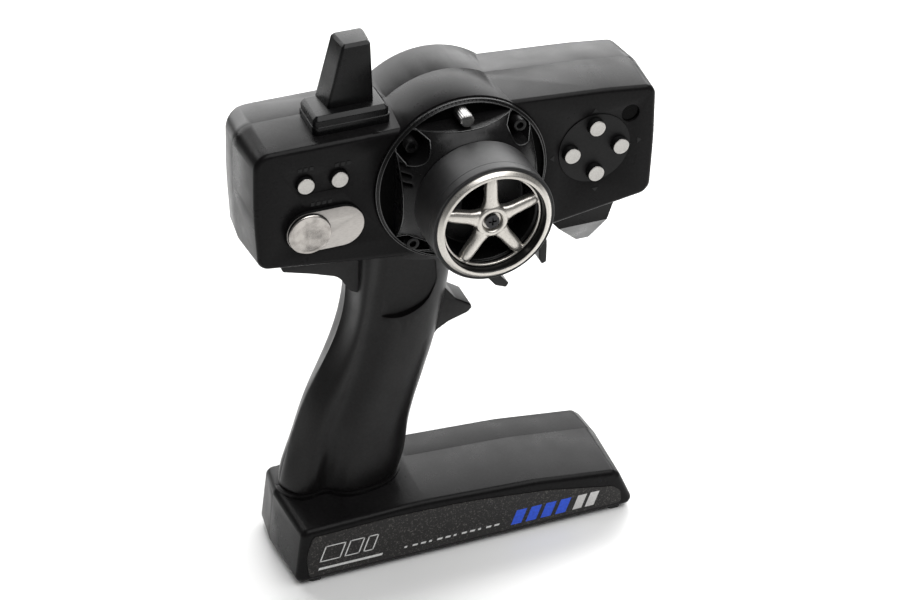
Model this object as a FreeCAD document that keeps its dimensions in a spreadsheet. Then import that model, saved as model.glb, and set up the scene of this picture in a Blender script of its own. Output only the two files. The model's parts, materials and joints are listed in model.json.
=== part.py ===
import FreeCAD, Part
import Sketcher
import math
import os
from FreeCAD import Vector

# Pistol-grip radio transmitter, in millimetres.
# Design axes: X forwards, Y to the left, Z up. The steering axis is parallel to Y at x = 0.
# The shells part on the plane y = 0, and z = 0 is the underside of the base.
# Every body has the same Placement, which moves the design axes to the middle of the bounding box.

doc = FreeCAD.newDocument("transmitter")
sheet = doc.addObject("Spreadsheet::Sheet", "dims")

SIZES = {
    # place of the design axes in the part's own frame
    "place_x": 0.85, "place_y": 18.75, "place_z": 1.2,
    # shells
    "wall": 2.2, "draft_front": 1.6, "draft_rear": 2.0, "edge_round": 2.0, "rear_round": 4.0,
    # head
    "head_front": 22.0, "head_rear": 20.0, "head_left": -84.2, "head_right": 82.8,
    "head_top_left": 203.0, "head_top_right": 199.9, "head_low": 142.3, "head_low_end": 149.9,
    "plan_radius": 45.0, "plan_start": -58.0, "hollow_left": -62.0, "hollow_shallow": 10.0,
    "drum_radius": 35.6, "drum_wall": 2.2, "axis_height": 175.0, "drum_front": 21.8, "drum_rear": 21.2,
    "drum_round": 2.5,
    # pod under the head
    "pod_half": 16.0, "pod_keel": 119.0, "pod_crease": 137.2,
    # steering plate
    "plate_rim": 35.0, "plate_spigot": 33.2, "plate_back": 20.0, "plate_front": 23.5,
    "boss_radius": 24.6, "boss_front": 35.4, "chord": 27.2, "recess_radius": 33.5, "recess_floor": 22.0,
    "well_floor": 22.4, "well_circle": 30.8, "well_post": 27.8, "post_bore": 1.4, "plate_cavity": 21.0,
    # wheel
    "tyre_radius": 24.45, "tyre_back": 36.4, "tyre_front": 57.0, "core_radius": 22.2, "core_back": 37.2,
    "barrel_radius": 19.8, "ring_front": 58.7, "star_front": 55.6, "shaft_radius": 3.0, "running_fit": 0.05,
    # rate knob
    "knob_radius": 2.75, "knob_height": 30.35, "knob_front": 31.4, "knob_shaft": 1.5,
    # buttons
    "key_radius": 3.4, "key_height": 185.8, "key_first": -62.4, "key_second": -49.0, "key_front": 23.6,
    "key_gap": 0.2, "key_round": 0.9,
    "trim_x": 55.4, "trim_height": 176.0, "trim_reach": 10.2, "trim_key": 3.35,
    "trim_disc": 15.0, "trim_front": 25.1,
    "lens_x": 70.4, "lens_height": 188.4, "lens_radius": 3.8,
    "power_left": -62.0, "power_right": -48.6, "power_height": 165.2, "power_radius": 8.8,
    "power_front": 23.7, "power_travel": 6.0, "stem_radius": 2.0,
    "dome_radius": 8.6, "dome_front": 25.4, "dome_back": 24.0, "dome_round": 0.9,
    # antenna
    "mast_left": -56.0, "mast_right": -26.0, "mast_front": 15.5, "mast_rear": 2.4, "mast_top": 209.2,
    "blade_top": 234.8, "blade_front": 10.3, "blade_rear": 2.2,
    # trigger
    "pivot_x": 32.0, "pivot_height": 155.0, "trigger_half": 5.0, "pin_radius": 1.5,
    # grip
    "grip_wall": 4.0, "rest_half": 7.0,
    # base
    "base_front": 29.5, "base_rear": 17.9, "base_left": -76.2, "base_right": 76.2, "foot": 1.2,
    "base_wall": 2.2, "base_round": 2.6,
    # batteries
    "cell_radius": 7.1, "cell_length": 50.2,
    # screws that hold the shells together
    "shank_radius": 1.25, "screw_head": 2.5, "boss_outer": 2.9, "head_bore": 2.8,
}
for row, (alias, size) in enumerate(SIZES.items(), start=1):
    sheet.set(f"A{row}", alias)
    sheet.set(f"B{row}", str(size))
    sheet.setAlias(f"B{row}", alias)
doc.recompute()

PLACE = Vector(*(sheet.get(alias) for alias in ("place_x", "place_y", "place_z")))
PARTS = []


def dim(alias):
    """A driving dimension, read from the sheet."""
    return float(sheet.get(alias))


def value(size):
    """The number meant by a size: a number, or a sum of sheet names such as "- head_front + wall"."""
    if not isinstance(size, str):
        return size
    total, sign = 0.0, 1
    for word in size.split():
        if word in ("+", "-"):
            sign = 1 if word == "+" else -1
        else:
            total += sign * dim(word)
            sign = 1
    return total


def formula(size):
    """The same size as an expression on the sheet's cells."""
    if not isinstance(size, str):
        return str(size)
    return " ".join(f"dims.{word}" if word in SIZES else word for word in size.split())


# ---- helpers -------------------------------------------------------------------------------------

def new_body(label):
    body = doc.addObject("PartDesign::Body", label)
    body.Label = label
    body.AllowCompound = True
    for axis in "xyz":
        body.setExpression(f"Placement.Base.{axis}", f"dims.place_{axis}")
    PARTS.append(body)
    return body


def add_feature(body, kind, **settings):
    feature = body.newObject(f"PartDesign::{kind}", f"{body.Name}_{kind}")
    for name, setting in settings.items():
        setattr(feature, name, setting)
    return feature


def add_sketch(body, role, geometry, level=0.0):
    """A sketch on one of the body's own origin planes, moved by level along +X, +Y or +Z."""
    plane = next(f for f in body.Origin.OriginFeatures if f.Role == role)
    sketch = body.newObject("Sketcher::SketchObject", f"{body.Name}_sketch")
    sketch.AttachmentSupport = [(plane, "")]
    sketch.MapMode = "FlatFace"
    # The XZ plane's normal points along -Y.
    sign = -1 if role == "XZ_Plane" else 1
    sketch.AttachmentOffset = FreeCAD.Placement(Vector(0, 0, sign * value(level)), FreeCAD.Rotation())
    if isinstance(level, str):
        sketch.setExpression("AttachmentOffset.Base.z", f"{sign} * ({formula(level)})")
    for piece in geometry:
        if isinstance(piece, tuple):
            a, b, radius = piece
            index = sketch.addGeometry(Part.Circle(Vector(a, b, 0), Vector(0, 0, 1), value(radius)), False)
            constraint = sketch.addConstraint(Sketcher.Constraint("Radius", index, value(radius)))
            sketch.setExpression(f"Constraints[{constraint}]", formula(radius))
        else:
            sketch.addGeometry(piece, False)
    return sketch


def finish(body, feature):
    body.Tip = feature
    doc.recompute()
    if "Invalid" in feature.State or "Error" in feature.State or not feature.Shape.isValid():
        raise ValueError(f"{feature.Label} failed: {feature.State}")
    if feature.Shape.Volume <= 0:
        raise ValueError(f"{feature.Label} has no volume")
    return feature


def stretch(body, kind, role, geometry, start, end):
    """A Pad or Pocket between two levels along the sketch plane's axis; the sketch lies at start."""
    sketch = add_sketch(body, role, geometry, start)
    feature = add_feature(body, kind, Profile=sketch, Length=abs(value(end) - value(start)))
    feature.setExpression("Length", f"abs({formula(end)} - ({formula(start)}))")
    rising = value(end) > value(start)
    along_normal = rising != (role == "XZ_Plane")
    feature.Reversed = along_normal == (kind == "Pocket")
    return finish(body, feature)


def pad(body, role, geometry, start, end):
    return stretch(body, "Pad", role, geometry, start, end)


def cut(body, role, geometry, start, end):
    volume = body.Shape.Volume
    feature = stretch(body, "Pocket", role, geometry, start, end)
    if body.Shape.Volume > volume - 0.01:
        raise ValueError(f"{body.Label}: a pocket on {role} from {start} to {end} removed nothing")
    return feature


def loft(body, kind, role, sections):
    """Additive or subtractive loft through (level, geometry) sections, in order along the plane's normal."""
    ordered = sorted(sections, key=lambda section: section[0], reverse=role == "XZ_Plane")
    sketches = [add_sketch(body, role, geometry, level) for level, geometry in ordered]
    feature = add_feature(body, kind, Profile=sketches[0], Sections=sketches[1:])
    feature.Ruled = len(sections) == 2
    return finish(body, feature)


def turn(body, outline, height=0.0):
    """Solid of revolution about the axis parallel to Y at x = 0 and the given height.

    The outline holds (radius, y) points, or finished sketch geometry.
    """
    geometry = polygon(outline) if isinstance(outline[0], tuple) else outline
    sketch = add_sketch(body, "XY_Plane", geometry, height)
    feature = add_feature(body, "Revolution", Profile=sketch, ReferenceAxis=(sketch, ["V_Axis"]), Angle=360)
    return finish(body, feature)


def round_edges(body, chosen, alias):
    """Fillet on the edges for which chosen(edge) is true."""
    names = [f"Edge{i}" for i, edge in enumerate(body.Shape.Edges, start=1) if chosen(edge)]
    feature = add_feature(body, "Fillet", Base=(body.Tip, names))
    feature.setExpression("Radius", f"dims.{alias}")
    return finish(body, feature)


def bevel_edges(body, chosen, size):
    names = [f"Edge{i}" for i, edge in enumerate(body.Shape.Edges, start=1) if chosen(edge)]
    feature = add_feature(body, "Chamfer", Base=(body.Tip, names), Size=size)
    return finish(body, feature)


def on_level(axis, level):
    """Chooses edges that lie wholly on one level of the design's x, y or z axis."""
    def chosen(edge):
        box = edge.BoundBox
        place = getattr(PLACE, axis)
        low = getattr(box, f"{axis.upper()}Min") - place
        high = getattr(box, f"{axis.upper()}Max") - place
        return abs(low - level) < 0.02 and abs(high - level) < 0.02
    return chosen


def polygon(corners):
    """Closed outline with sharp corners."""
    ends = [Vector(a, b, 0) for a, b in corners]
    return [Part.LineSegment(p, q) for p, q in zip(ends, ends[1:] + ends[:1])]


def rounded(corners):
    """Closed outline of (a, b, radius) corners, each rounded by a tangent arc."""
    count = len(corners)
    cuts = []
    for i in range(count):
        corner = Vector(corners[i][0], corners[i][1], 0)
        before = Vector(*corners[i - 1][:2], 0) - corner
        after = Vector(*corners[(i + 1) % count][:2], 0) - corner
        before.normalize()
        after.normalize()
        half = before.getAngle(after) / 2
        radius = corners[i][2]
        reach = radius / math.tan(half)
        bisector = before + after
        bisector.normalize()
        middle = corner + bisector * (radius / math.sin(half) - radius)
        cuts.append((corner + before * reach, middle, corner + after * reach))
    outline = []
    for i in range(count):
        start, middle, end = cuts[i]
        if corners[i][2] > 0:
            outline.append(Part.Arc(start, middle, end))
        outline.append(Part.LineSegment(end, cuts[(i + 1) % count][0]))
    return outline


def inset(corners, depth):
    """The same outline, counter-clockwise, moved inwards by depth, with its corner radii reduced."""
    count = len(corners)
    moved = []
    for i in range(count):
        a, b, radius = corners[i]
        before = (a - corners[i - 1][0], b - corners[i - 1][1])
        after = (corners[(i + 1) % count][0] - a, corners[(i + 1) % count][1] - b)
        first = math.hypot(*before)
        second = math.hypot(*after)
        n1 = (-before[1] / first, before[0] / first)
        n2 = (-after[1] / second, after[0] / second)
        scale = depth / (1 + n1[0] * n2[0] + n1[1] * n2[1])
        moved.append((a + (n1[0] + n2[0]) * scale, b + (n1[1] + n2[1]) * scale, max(radius - depth, 0.6)))
    return moved


def circle(a, b, radius):
    """A circle whose radius may be a sheet name, which the sketch binds."""
    return a, b, radius


def box_outline(a0, b0, a1, b1, radius=0.0):
    if radius == 0:
        return polygon([(a0, b0), (a1, b0), (a1, b1), (a0, b1)])
    return rounded([(a0, b0, radius), (a1, b0, radius), (a1, b1, radius), (a0, b1, radius)])


def stadium(a0, a1, b, radius):
    """Slot outline with its two round ends centred on (a0, b) and (a1, b)."""
    return [
        Part.LineSegment(Vector(a0, b - radius, 0), Vector(a1, b - radius, 0)),
        Part.Arc(Vector(a1, b - radius, 0), Vector(a1 + radius, b, 0), Vector(a1, b + radius, 0)),
        Part.LineSegment(Vector(a1, b + radius, 0), Vector(a0, b + radius, 0)),
        Part.Arc(Vector(a0, b + radius, 0), Vector(a0 - radius, b, 0), Vector(a0, b - radius, 0)),
    ]


# ---- outlines shared by several pieces -----------------------------------------------------------

AXIS = dim("axis_height")


def head_outline():
    """The head seen from the wheel's side, on the parting plane, counter-clockwise from lower left."""
    left, right, low = dim("head_left"), dim("head_right"), dim("head_low")
    low_end, top_left, top_right = dim("head_low_end"), dim("head_top_left"), dim("head_top_right")
    middle = (low_end + top_left) / 2
    return [
        (left + 1.0, low_end, 6.4),
        (-25.0, low, 30.0),
        (38.0, low, 30.0),
        (right - 1.2, low_end - 0.8, 7.0),
        (right, middle, 200.0),
        (right - 0.2, top_right, 6.4),
        (60.3, 202.6, 60.0),
        (8.0, 206.5, 20.0),
        (-12.0, top_left, 20.0),
        (left + 1.0, top_left, 8.0),
        (left, middle, 200.0),
    ]


def pod_outline():
    """The pod under the head's front part, seen from the wheel's side."""
    keel, crease = dim("pod_keel"), dim("pod_crease")
    return [
        (36.5, 146.0, 0.0),
        (44.0, crease, 1.0),
        (59.0, keel - 0.6, 1.5),
        (64.0, keel - 0.6, 1.5),
        (64.6, crease, 1.0),
        (70.0, 153.0, 0.0),
    ]


# One row per level of the grip: height, rear end, front end, crease, half widths of the rear and front lobes.
GRIP_LEVELS = [
    (29.4, -70.7, -19.9, -53.9, 10.3, 14.8),
    (50.0, -65.7, -15.2, -50.6, 10.5, 14.9),
    (70.0, -58.6, -10.2, -44.9, 10.8, 15.0),
    (90.0, -48.5, -4.1, -38.3, 11.2, 15.1),
    (108.0, -41.8, 0.3, -34.4, 11.6, 15.1),
    (126.0, -39.9, 3.3, -31.2, 12.4, 15.0),
    (139.0, -39.6, 4.0, -29.4, 12.6, 14.8),
    (153.0, -39.4, 4.4, -28.6, 12.6, 14.6),
]


def grip_section(level, side, thickness=0.0):
    """Half section of the grip on one side (-1 is the wheel's side); a thickness gives the hollow in it."""
    height, rear, front, crease, rear_half, front_half = level
    rear += thickness
    front -= thickness
    rear_half -= thickness
    front_half -= thickness
    span = front - rear
    valley = rear_half - 0.7
    lobe = front - crease
    points = [
        (rear, 0.0),
        (rear + 0.05 * span, 0.58 * rear_half),
        (rear + 0.5 * (crease - rear), rear_half),
        (crease, valley),
        (crease + 0.16 * lobe, 0.92 * front_half),
        (crease + 0.42 * lobe, front_half),
        (crease + 0.78 * lobe, 0.80 * front_half),
        (front - 0.03 * span, 0.36 * front_half),
        (front, 0.0),
    ]
    curve = Part.BSplineCurve()
    curve.interpolate([Vector(x, side * y, 0) for x, y in points])
    return [curve, Part.LineSegment(Vector(front, 0, 0), Vector(rear, 0, 0))]


def base_outline(drop):
    """The base seen from the wheel's side; drop lowers its top, as its crown falls away from the seam."""
    left, right = dim("base_left") + 0.9 * drop, dim("base_right")
    lean = 0.25 * drop
    return [
        (left, 0.0, 3.2),
        (right, 0.0, 3.0),
        (69.7 - lean, 18.2 - 0.6 * drop, 3.2),
        (66.1, 21.6 - drop, 3.6),
        (30.0, 26.4 - drop, 120.0),
        (-22.0, 29.6 - drop, 200.0),
        (left + 3.0 + lean, 28.2 - drop, 3.6),
    ]


# ---- screws through two shells -------------------------------------------------------------------

HEAD_SCREWS = [(-34.6, 151.2), (50.0, 152.4), (50.0, 197.0), (-33.0, 199.0)]
GRIP_SCREWS = [(-58.0, 44.0), (-13.0, 98.0)]
BASE_SCREWS = [(-65.5, 11.0), (61.0, 9.5)]


def screw_boss(body, side, spot, reach, seat):
    """A boss from the parting plane to reach. The left shells get the bore, the right ones the pilot hole."""
    x, z = spot
    pad(body, "XZ_Plane", [circle(x, z, "boss_outer")], 0.0, side * reach)
    if side > 0:
        cut(body, "XZ_Plane", [circle(x, z, "shank_radius + key_gap")], -1.0, reach + 1.0)
        cut(body, "XZ_Plane", [circle(x, z, "head_bore")], seat, seat + 20.0)
    else:
        cut(body, "XZ_Plane", [circle(x, z, "shank_radius")], 1.0, -7.0)


def shell_screws(label, spots, seats):
    body = new_body(label)
    for (x, z), seat in zip(spots, seats):
        pad(body, "XZ_Plane", [circle(x, z, "shank_radius")], -6.5, seat)
        pad(body, "XZ_Plane", [circle(x, z, "screw_head")], seat, seat + 1.8)
        slot = box_outline(x - 1.6, z - 0.3, x + 1.6, z + 0.3)
        cut(body, "XZ_Plane", slot, seat + 1.0, seat + 2.0)
        slot = box_outline(x - 0.3, z - 1.6, x + 0.3, z + 1.6)
        cut(body, "XZ_Plane", slot, seat + 1.0, seat + 2.0)


# ---- head shells ---------------------------------------------------------------------------------

def plan_corner():
    """What the rear half loses at its left end, seen from above: the outside curves in along an arc."""
    radius, start, depth = dim("plan_radius"), dim("plan_start"), dim("head_rear")

    def on_arc(x):
        return Vector(x, depth - radius + math.sqrt(radius ** 2 - (start - x) ** 2), 0)

    far, corner = on_arc(-88.0), Vector(-88.0, depth + 1.0, 0)
    near, above = on_arc(start), Vector(start, depth + 1.0, 0)
    return [
        Part.Arc(near, on_arc((start - 88.0) / 2), far),
        Part.LineSegment(far, corner),
        Part.LineSegment(corner, above),
        Part.LineSegment(above, near),
    ]


def make_head_shell(label, side):
    """Half of the head: side -1 is the front half with the controls, +1 the rear half."""
    body = new_body(label)
    depth = dim("head_front") if side < 0 else dim("head_rear")
    draft = dim("draft_front") if side < 0 else dim("draft_rear")
    wall = dim("wall")
    outer = head_outline()
    face = inset(outer, draft)
    loft(body, "AdditiveLoft", "XZ_Plane", [(0.0, rounded(outer)), (side * depth, rounded(face))])
    round_edges(body, on_level("y", side * depth), "edge_round" if side < 0 else "rear_round")
    if side < 0:
        pad(body, "XZ_Plane", [circle(0, AXIS, "drum_radius")], 0.0, "- drum_front")
    else:
        cut(body, "XY_Plane", plan_corner(), 120.0, 220.0)
        radius, round_over, crown_y = dim("drum_radius"), dim("drum_round"), dim("drum_rear")
        shoulder = Vector(radius, crown_y - round_over, 0)
        crown = Vector(radius - round_over, crown_y, 0)
        arc_middle = Vector(radius - 0.293 * round_over, crown_y - 0.293 * round_over, 0)
        turn(body, [
            Part.LineSegment(Vector(0, 0, 0), Vector(radius, 0, 0)),
            Part.LineSegment(Vector(radius, 0, 0), shoulder),
            Part.Arc(shoulder, arc_middle, crown),
            Part.LineSegment(crown, Vector(0, crown_y, 0)),
            Part.LineSegment(Vector(0, crown_y, 0), Vector(0, 0, 0)),
        ], "axis_height")
    pad(body, "XZ_Plane", rounded(pod_outline()), 0.0, side * dim("pod_half"))
    # The pod's underside falls from a crease on each side to a keel at the seam.
    keel, crease, half = dim("pod_keel"), dim("pod_crease"), dim("pod_half")
    wedge = [(0.0, keel), (side * half, crease), (side * (half + 1.0), crease), (side * (half + 1.0), 100.0),
             (0.0, 100.0)]
    cut(body, "YZ_Plane", polygon(wedge), 34.0, 82.0)
    # hollow, shallower at the left end of the rear half, where the outside curves in
    hollow = inset(outer, wall)
    if side > 0:
        loft(body, "SubtractiveLoft", "XZ_Plane",
             [(0.0, rounded(hollow)), (dim("hollow_shallow"), rounded(inset(hollow, draft)))])
        shift = dim("hollow_left") - dim("head_left")
        hollow = [(x + shift if x < dim("hollow_left") else x, z, radius) for x, z, radius in hollow]
    loft(body, "SubtractiveLoft", "XZ_Plane",
         [(0.0, rounded(hollow)), (side * (depth - wall), rounded(inset(hollow, draft)))])
    cut(body, "XZ_Plane", [circle(0, AXIS, "drum_radius - drum_wall")], 0.0,
        "- drum_front - wall" if side < 0 else "drum_rear - wall")
    # the trigger's slot through the bottom wall
    cut(body, "XY_Plane", box_outline(22.0, 0.0, 42.0, side * 7.0), 138.0, 150.0)
    # the lead's way down into the grip
    cut(body, "XY_Plane", box_outline(-34.0, 0.0, -22.0, side * 4.0), 136.0, 152.0)
    return body


SWITCH_TOP = -16.0
BOARD_FACE = -12.3
BOARD_BACK = 5.6
HEAD_SEAT = 15.0

head_front = make_head_shell("head_front_shell", -1)
FACE = dim("head_front")
key_height, power_height = dim("key_height"), dim("power_height")
openings = [
    [circle(dim("key_first"), key_height, "key_radius + key_gap")],
    [circle(dim("key_second"), key_height, "key_radius + key_gap")],
    [circle(dim("trim_x"), dim("trim_height"), "trim_disc")],
    [circle(dim("lens_x"), dim("lens_height"), "lens_radius")],
    stadium(dim("power_left"), dim("power_right"), power_height, dim("power_radius")),
]
for opening in openings:
    cut(head_front, "XZ_Plane", opening, -FACE - 1, -FACE + 6)
# the shallow recess around the two keys
KEY_RECESS = stadium(dim("key_first"), dim("key_second"), key_height, dim("key_radius") + 1.0)
cut(head_front, "XZ_Plane", KEY_RECESS, -FACE - 1, -FACE + 0.3)
# the seat of the steering plate's rim
cut(head_front, "XZ_Plane", [circle(0, AXIS, "plate_rim + key_gap")], -FACE - 1, "- drum_front")
# posts for the key board and the trim board
KEY_BOARD_POSTS = ((-73.0, 192.0), (-41.5, 179.0), (-56.0, 177.0))
TRIM_BOARD_POSTS = ((42.0, 190.0), (73.5, 162.0), (41.0, 162.0))
for post_x, post_z in KEY_BOARD_POSTS + TRIM_BOARD_POSTS:
    pad(head_front, "XZ_Plane", [circle(post_x, post_z, 1.8)], -FACE + 1.0, BOARD_FACE)
for spot in HEAD_SCREWS:
    screw_boss(head_front, -1, spot, FACE - 1.0, HEAD_SEAT)

head_rear = make_head_shell("head_rear_shell", 1)
for post_x in (-75.0, -42.0):
    for post_z in (158.0, 196.0):
        pad(head_rear, "XZ_Plane", [circle(post_x, post_z, 2.6)], dim("head_rear") - 1.0, BOARD_BACK)
for spot in HEAD_SCREWS:
    screw_boss(head_rear, 1, spot, dim("head_rear") - 1.0, HEAD_SEAT)
shell_screws("head_screws", HEAD_SCREWS, [HEAD_SEAT] * 4)


def cut_head_away(body, side):
    """Takes the drafted outside of the head's half out of a piece that stands against it."""
    draft = dim("draft_front") if side < 0 else dim("draft_rear")
    depth = dim("head_front") if side < 0 else dim("head_rear")
    outer = head_outline()
    loft(body, "SubtractiveLoft", "XZ_Plane",
         [(0.0, rounded(outer)), (side * depth, rounded(inset(outer, draft)))])


# ---- antenna -------------------------------------------------------------------------------------

mast = new_body("antenna_base")
MAST = (dim("mast_left"), dim("mast_right"), dim("mast_front"), dim("mast_rear"), dim("mast_top"))
pad(mast, "XY_Plane", box_outline(MAST[0], -MAST[2], MAST[1], MAST[3], 2.2), 201.0, MAST[4])
bevel_edges(mast, on_level("z", MAST[4]), 1.5)
SKIRT = 0.4
skirt_outline = box_outline(MAST[0] - SKIRT, -MAST[2] - SKIRT, MAST[1] + SKIRT, MAST[3] + SKIRT, 2.4)
pad(mast, "XY_Plane", skirt_outline, 201.0, 205.2)
# its foot follows the head's top
cut_head_away(mast, -1)
cut_head_away(mast, 1)

blade = new_body("antenna_blade")
TIP_BEVEL = 1.2
blade_low, blade_high = -dim("blade_front"), dim("blade_rear")
blade_top = dim("blade_top")


def blade_section(front_left, front_right, flare, margin, radius):
    """A section of the blade, wider by flare on each side at the rear, all drawn in by margin."""
    return rounded([
        (front_left + margin, blade_low + margin, radius),
        (front_right - margin, blade_low + margin, radius),
        (front_right + flare - margin, blade_high - margin, radius),
        (front_left - flare + margin, blade_high - margin, radius),
    ])


foot_section = blade_section(-48.8, -30.6, 1.2, 0.0, 1.2)
shoulder_section = blade_section(-42.6, -31.0, 0.9, 0.2, 1.2)
tip_section = blade_section(-42.6, -31.0, 0.9, 0.2 + TIP_BEVEL, 0.4)
loft(blade, "AdditiveLoft", "XY_Plane", [(MAST[4], foot_section), (blade_top - TIP_BEVEL, shoulder_section)])
loft(blade, "AdditiveLoft", "XY_Plane", [(blade_top - TIP_BEVEL, shoulder_section), (blade_top, tip_section)])
cut(blade, "XY_Plane", [circle(-38.0, -4.5, 2.0)], MAST[4] - 1, 228.0)

element = new_body("antenna_element")
pad(element, "XY_Plane", [circle(-38.0, -4.5, 1.6)], MAST[4] + 0.5, 226.0)

# ---- steering plate ------------------------------------------------------------------------------

plate = new_body("steering_plate")


def about_axis(radius, angle):
    """A point around the steering axis, in the XZ plane."""
    return radius * math.cos(math.radians(angle)), AXIS + radius * math.sin(math.radians(angle))


plate_turned = [
    (5.0, -dim("boss_front")),
    (dim("boss_radius") - 1.0, -dim("boss_front")),
    (dim("boss_radius"), -dim("boss_front") + 1.0),
    (27.4, -32.0),
    (31.2, -27.0),
    (34.0, -dim("plate_front")),
    (dim("plate_rim"), -dim("plate_front") + 0.6),
    (dim("plate_rim"), -dim("drum_front")),
    (dim("plate_spigot"), -dim("drum_front")),
    (dim("plate_spigot"), -dim("plate_back")),
    (dim("plate_cavity"), -dim("plate_back")),
    (dim("plate_cavity"), -dim("boss_front") + 3.0),
    (8.0, -dim("boss_front") + 3.0),
    (8.0, -27.0),
    (5.0, -27.0),
]


def segment(angle):
    """The recess between a chord of the plate and its rim."""
    half = math.degrees(math.acos(dim("chord") / dim("recess_radius")))
    start = Vector(*about_axis(dim("recess_radius"), angle - half), 0)
    middle = Vector(*about_axis(dim("recess_radius"), angle), 0)
    end = Vector(*about_axis(dim("recess_radius"), angle + half), 0)
    return [Part.Arc(start, middle, end), Part.LineSegment(end, start)]


def well(angle):
    """Drop-shaped screw well: wide at the rim, round towards the wheel."""
    rim = dim("recess_radius")
    spread = 9.5
    shoulder = 12.5
    outer_a = Vector(*about_axis(rim, angle - spread), 0)
    outer_b = Vector(*about_axis(rim, angle + spread), 0)
    side_a = Vector(*about_axis(29.0, angle - shoulder), 0)
    side_b = Vector(*about_axis(29.0, angle + shoulder), 0)
    return [
        Part.Arc(outer_a, Vector(*about_axis(rim, angle), 0), outer_b),
        Part.LineSegment(outer_b, side_b),
        Part.Arc(side_b, Vector(*about_axis(25.6, angle), 0), side_a),
        Part.LineSegment(side_a, outer_a),
    ]


WELLS = (45.0, 135.0, 225.0, 315.0)
turn(plate, plate_turned, "axis_height")
for angle in (0.0, 90.0, 180.0, 270.0):
    cut(plate, "XZ_Plane", segment(angle), -40.0, -dim("recess_floor"))
for angle in WELLS:
    cut(plate, "XZ_Plane", well(angle), -40.0, "- well_floor")
for angle in WELLS:
    x, z = about_axis(dim("well_circle"), angle)
    pad(plate, "XZ_Plane", [circle(x, z, 2.6)], -dim("plate_back") - 1, "- well_post")
    cut(plate, "XZ_Plane", [circle(x, z, "post_bore")], -dim("well_post") - 1, -dim("plate_back") + 1)
for vent in range(3):
    height = AXIS + 15.2 - 3.3 * vent
    reach = 30.0 - 0.7 * vent
    cut(plate, "XZ_Plane", stadium(-reach + 0.75, -24.4, height, 0.75), -40.0, -25.0)
knob_x, knob_z = about_axis(dim("knob_height"), 91.5)
cut(plate, "XZ_Plane", [circle(knob_x, knob_z, dim("knob_shaft") + dim("running_fit"))], -26.0, -15.0)

screws = new_body("steering_plate_screws")
for angle in WELLS:
    x, z = about_axis(dim("well_circle"), angle)
    pad(screws, "XZ_Plane", [circle(x, z, "post_bore")], -26.0, -13.0)

# ---- steering wheel, on its shaft ----------------------------------------------------------------

shaft = new_body("steering_shaft")
pad(shaft, "XZ_Plane", [circle(0, AXIS, "shaft_radius")], -50.5, 0.5)
cut(shaft, "XZ_Plane", [circle(0, AXIS, 1.45)], -50.5, -44.5)

STOP_RADIUS = 11.0
stop_arm = new_body("steering_stop_arm")
pad(stop_arm, "XZ_Plane", [circle(0, AXIS, 6.0)], -13.4, -11.2)
pad(stop_arm, "XZ_Plane", box_outline(-1.5, AXIS + 4.0, 1.5, AXIS + STOP_RADIUS + 2.0, 1.0), -13.4, -11.2)
cut(stop_arm, "XZ_Plane", [circle(0, AXIS, "shaft_radius")], -14.0, -11.0)

bush = new_body("steering_bush")
turn(bush, [(3.05, -35.0), (4.95, -35.0), (4.95, -27.2), (3.05, -27.2)], "axis_height")

core = new_body("wheel_core")
turn(core, [
    (3.0, -dim("core_back")), (dim("core_radius"), -dim("core_back")), (dim("core_radius"), -56.2),
    (21.0, -56.2), (21.0, -54.0), (dim("barrel_radius"), -54.0), (dim("barrel_radius"), -40.0),
    (6.2, -40.0), (6.2, -50.5), (3.0, -50.5),
], "axis_height")

tyre = new_body("wheel_tyre")
tyre_out, tyre_in = dim("tyre_radius"), dim("core_radius") + 0.05
tyre_back, tyre_front = -dim("tyre_back"), -dim("tyre_front")
turn(tyre, [
    Part.LineSegment(Vector(tyre_in, tyre_back, 0), Vector(tyre_out - 0.8, tyre_back, 0)),
    Part.Arc(Vector(tyre_out - 0.8, tyre_back, 0), Vector(tyre_out - 0.23, tyre_back - 0.23, 0),
             Vector(tyre_out, tyre_back - 0.8, 0)),
    Part.LineSegment(Vector(tyre_out, tyre_back - 0.8, 0), Vector(tyre_out, tyre_front + 1.2, 0)),
    Part.Arc(Vector(tyre_out, tyre_front + 1.2, 0), Vector(tyre_out - 0.3, tyre_front + 0.35, 0),
             Vector(tyre_out - 1.1, tyre_front, 0)),
    Part.LineSegment(Vector(tyre_out - 1.1, tyre_front, 0), Vector(tyre_in + 0.75, tyre_front, 0)),
    Part.LineSegment(Vector(tyre_in + 0.75, tyre_front, 0), Vector(tyre_in + 0.75, -56.25, 0)),
    Part.LineSegment(Vector(tyre_in + 0.75, -56.25, 0), Vector(tyre_in, -56.25, 0)),
    Part.LineSegment(Vector(tyre_in, -56.25, 0), Vector(tyre_in, tyre_back, 0)),
], "axis_height")

ring = new_body("wheel_trim_ring")
turn(ring, [
    (20.95, -54.05), (20.95, -56.3), (22.9, -56.3), (22.9, -57.3), (20.9, -dim("ring_front")),
    (20.3, -dim("ring_front") + 0.1), (19.9, -54.05),
], "axis_height")

star = new_body("wheel_star")
SPOKES = 5


def spoke(angle):
    """One tapered spoke between the hub and the ring behind the trim."""
    along = Vector(math.cos(math.radians(angle)), math.sin(math.radians(angle)), 0)
    across = Vector(-along.y, along.x, 0)
    centre = Vector(0, AXIS, 0)
    corners = [(5.2, 2.9), (8.5, 2.3), (19.5, 2.0), (19.5, -2.0), (8.5, -2.3), (5.2, -2.9)]
    ends = [centre + along * radius + across * half for radius, half in corners]
    return polygon([(end.x, end.y) for end in ends])


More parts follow.
